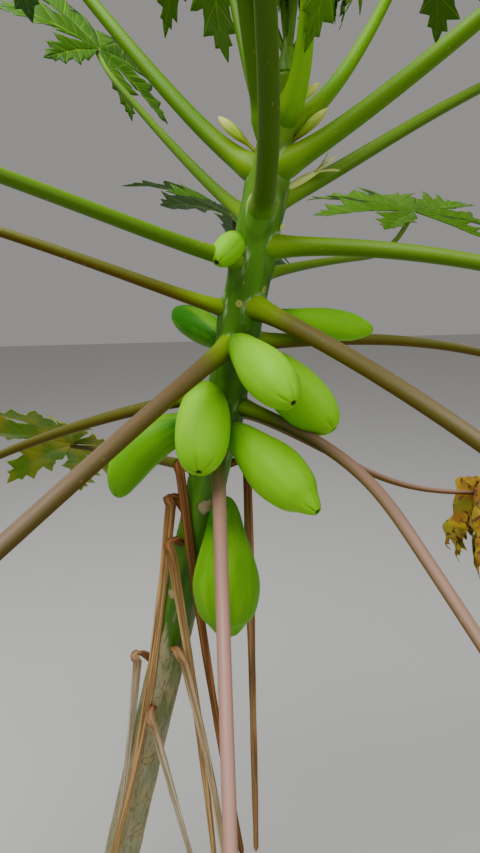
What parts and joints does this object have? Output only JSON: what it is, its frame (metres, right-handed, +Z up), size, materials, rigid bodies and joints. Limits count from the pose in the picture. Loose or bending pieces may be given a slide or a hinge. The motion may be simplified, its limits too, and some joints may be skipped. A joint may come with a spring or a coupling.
{
  "type": "papaya tree",
  "caption": "Young papaya tree in fruit: slender leaning trunk, long arching leaf stalks with palmate blades, green fruits under the crown and withered stalks hanging along the trunk.",
  "frame": {"origin": "middle of the flat cut under the trunk, at ground level", "axes": "+Z up; +X towards the side the trunk leans to, to the right as the tree was pictured; +Y away from that camera"},
  "size_m": [1.5894, 1.5734, 2.0877],
  "materials": {
    "bark": "matt, ringed with leaf scars",
    "stalk": "smooth, waxy green",
    "ageing_stalk": "smooth, mauve-brown over green",
    "blade": "satin, pale yellow veins",
    "young_blade": "satin",
    "fruit": "smooth, waxy green skin",
    "withered": "dry, wrinkled",
    "dead": "dry, split and fibrous"
  },
  "bodies": {
    "root": {"trunk": "bark", "leaf_stalk_01": "ageing_stalk", "leaf_stalk_02": "ageing_stalk", "leaf_stalk_03": "ageing_stalk", "leaf_stalk_04": "ageing_stalk", "leaf_stalk_05": "ageing_stalk", "leaf_stalk_06": "ageing_stalk", "leaf_stalk_07": "ageing_stalk", "leaf_stalk_08": "ageing_stalk", "leaf_stalk_09": "ageing_stalk", "leaf_stalk_10": "stalk", "leaf_stalk_11": "stalk", "leaf_stalk_12": "stalk", "leaf_stalk_13": "stalk", "leaf_stalk_14": "stalk", "leaf_stalk_15": "stalk", "leaf_stalk_16": "stalk", "leaf_stalk_17": "stalk", "leaf_stalk_18": "stalk", "leaf_stalk_19": "stalk", "leaf_stalk_20": "stalk", "leaf_stalk_21": "stalk", "leaf_blade_01": "blade", "leaf_blade_02": "blade", "leaf_blade_03": "blade", "leaf_blade_04": "blade", "leaf_blade_05": "blade", "leaf_blade_06": "blade", "leaf_blade_07": "blade", "leaf_blade_08": "blade", "leaf_blade_09": "blade", "leaf_blade_10": "blade", "leaf_blade_11": "blade", "leaf_blade_12": "blade", "leaf_blade_13": "blade", "leaf_blade_14": "blade", "leaf_blade_15": "blade", "leaf_blade_16": "blade", "leaf_blade_17": "blade", "leaf_blade_18": "young_blade", "leaf_blade_19": "young_blade", "leaf_blade_20": "young_blade", "leaf_blade_21": "young_blade", "withered_leaf": "withered", "fruit_01": "fruit", "fruit_02": "fruit", "fruit_03": "fruit", "fruit_04": "fruit", "fruit_05": "fruit", "fruit_06": "fruit", "fruit_07": "fruit", "fruit_08": "fruit", "dead_stalk_01": "dead", "dead_stalk_02": "dead", "dead_stalk_03": "dead", "dead_stalk_04": "dead", "dead_stalk_05": "dead", "dead_stalk_06": "dead", "dead_stalk_07": "dead", "shoot_tip": "young_blade"}
  },
  "joints": []
}
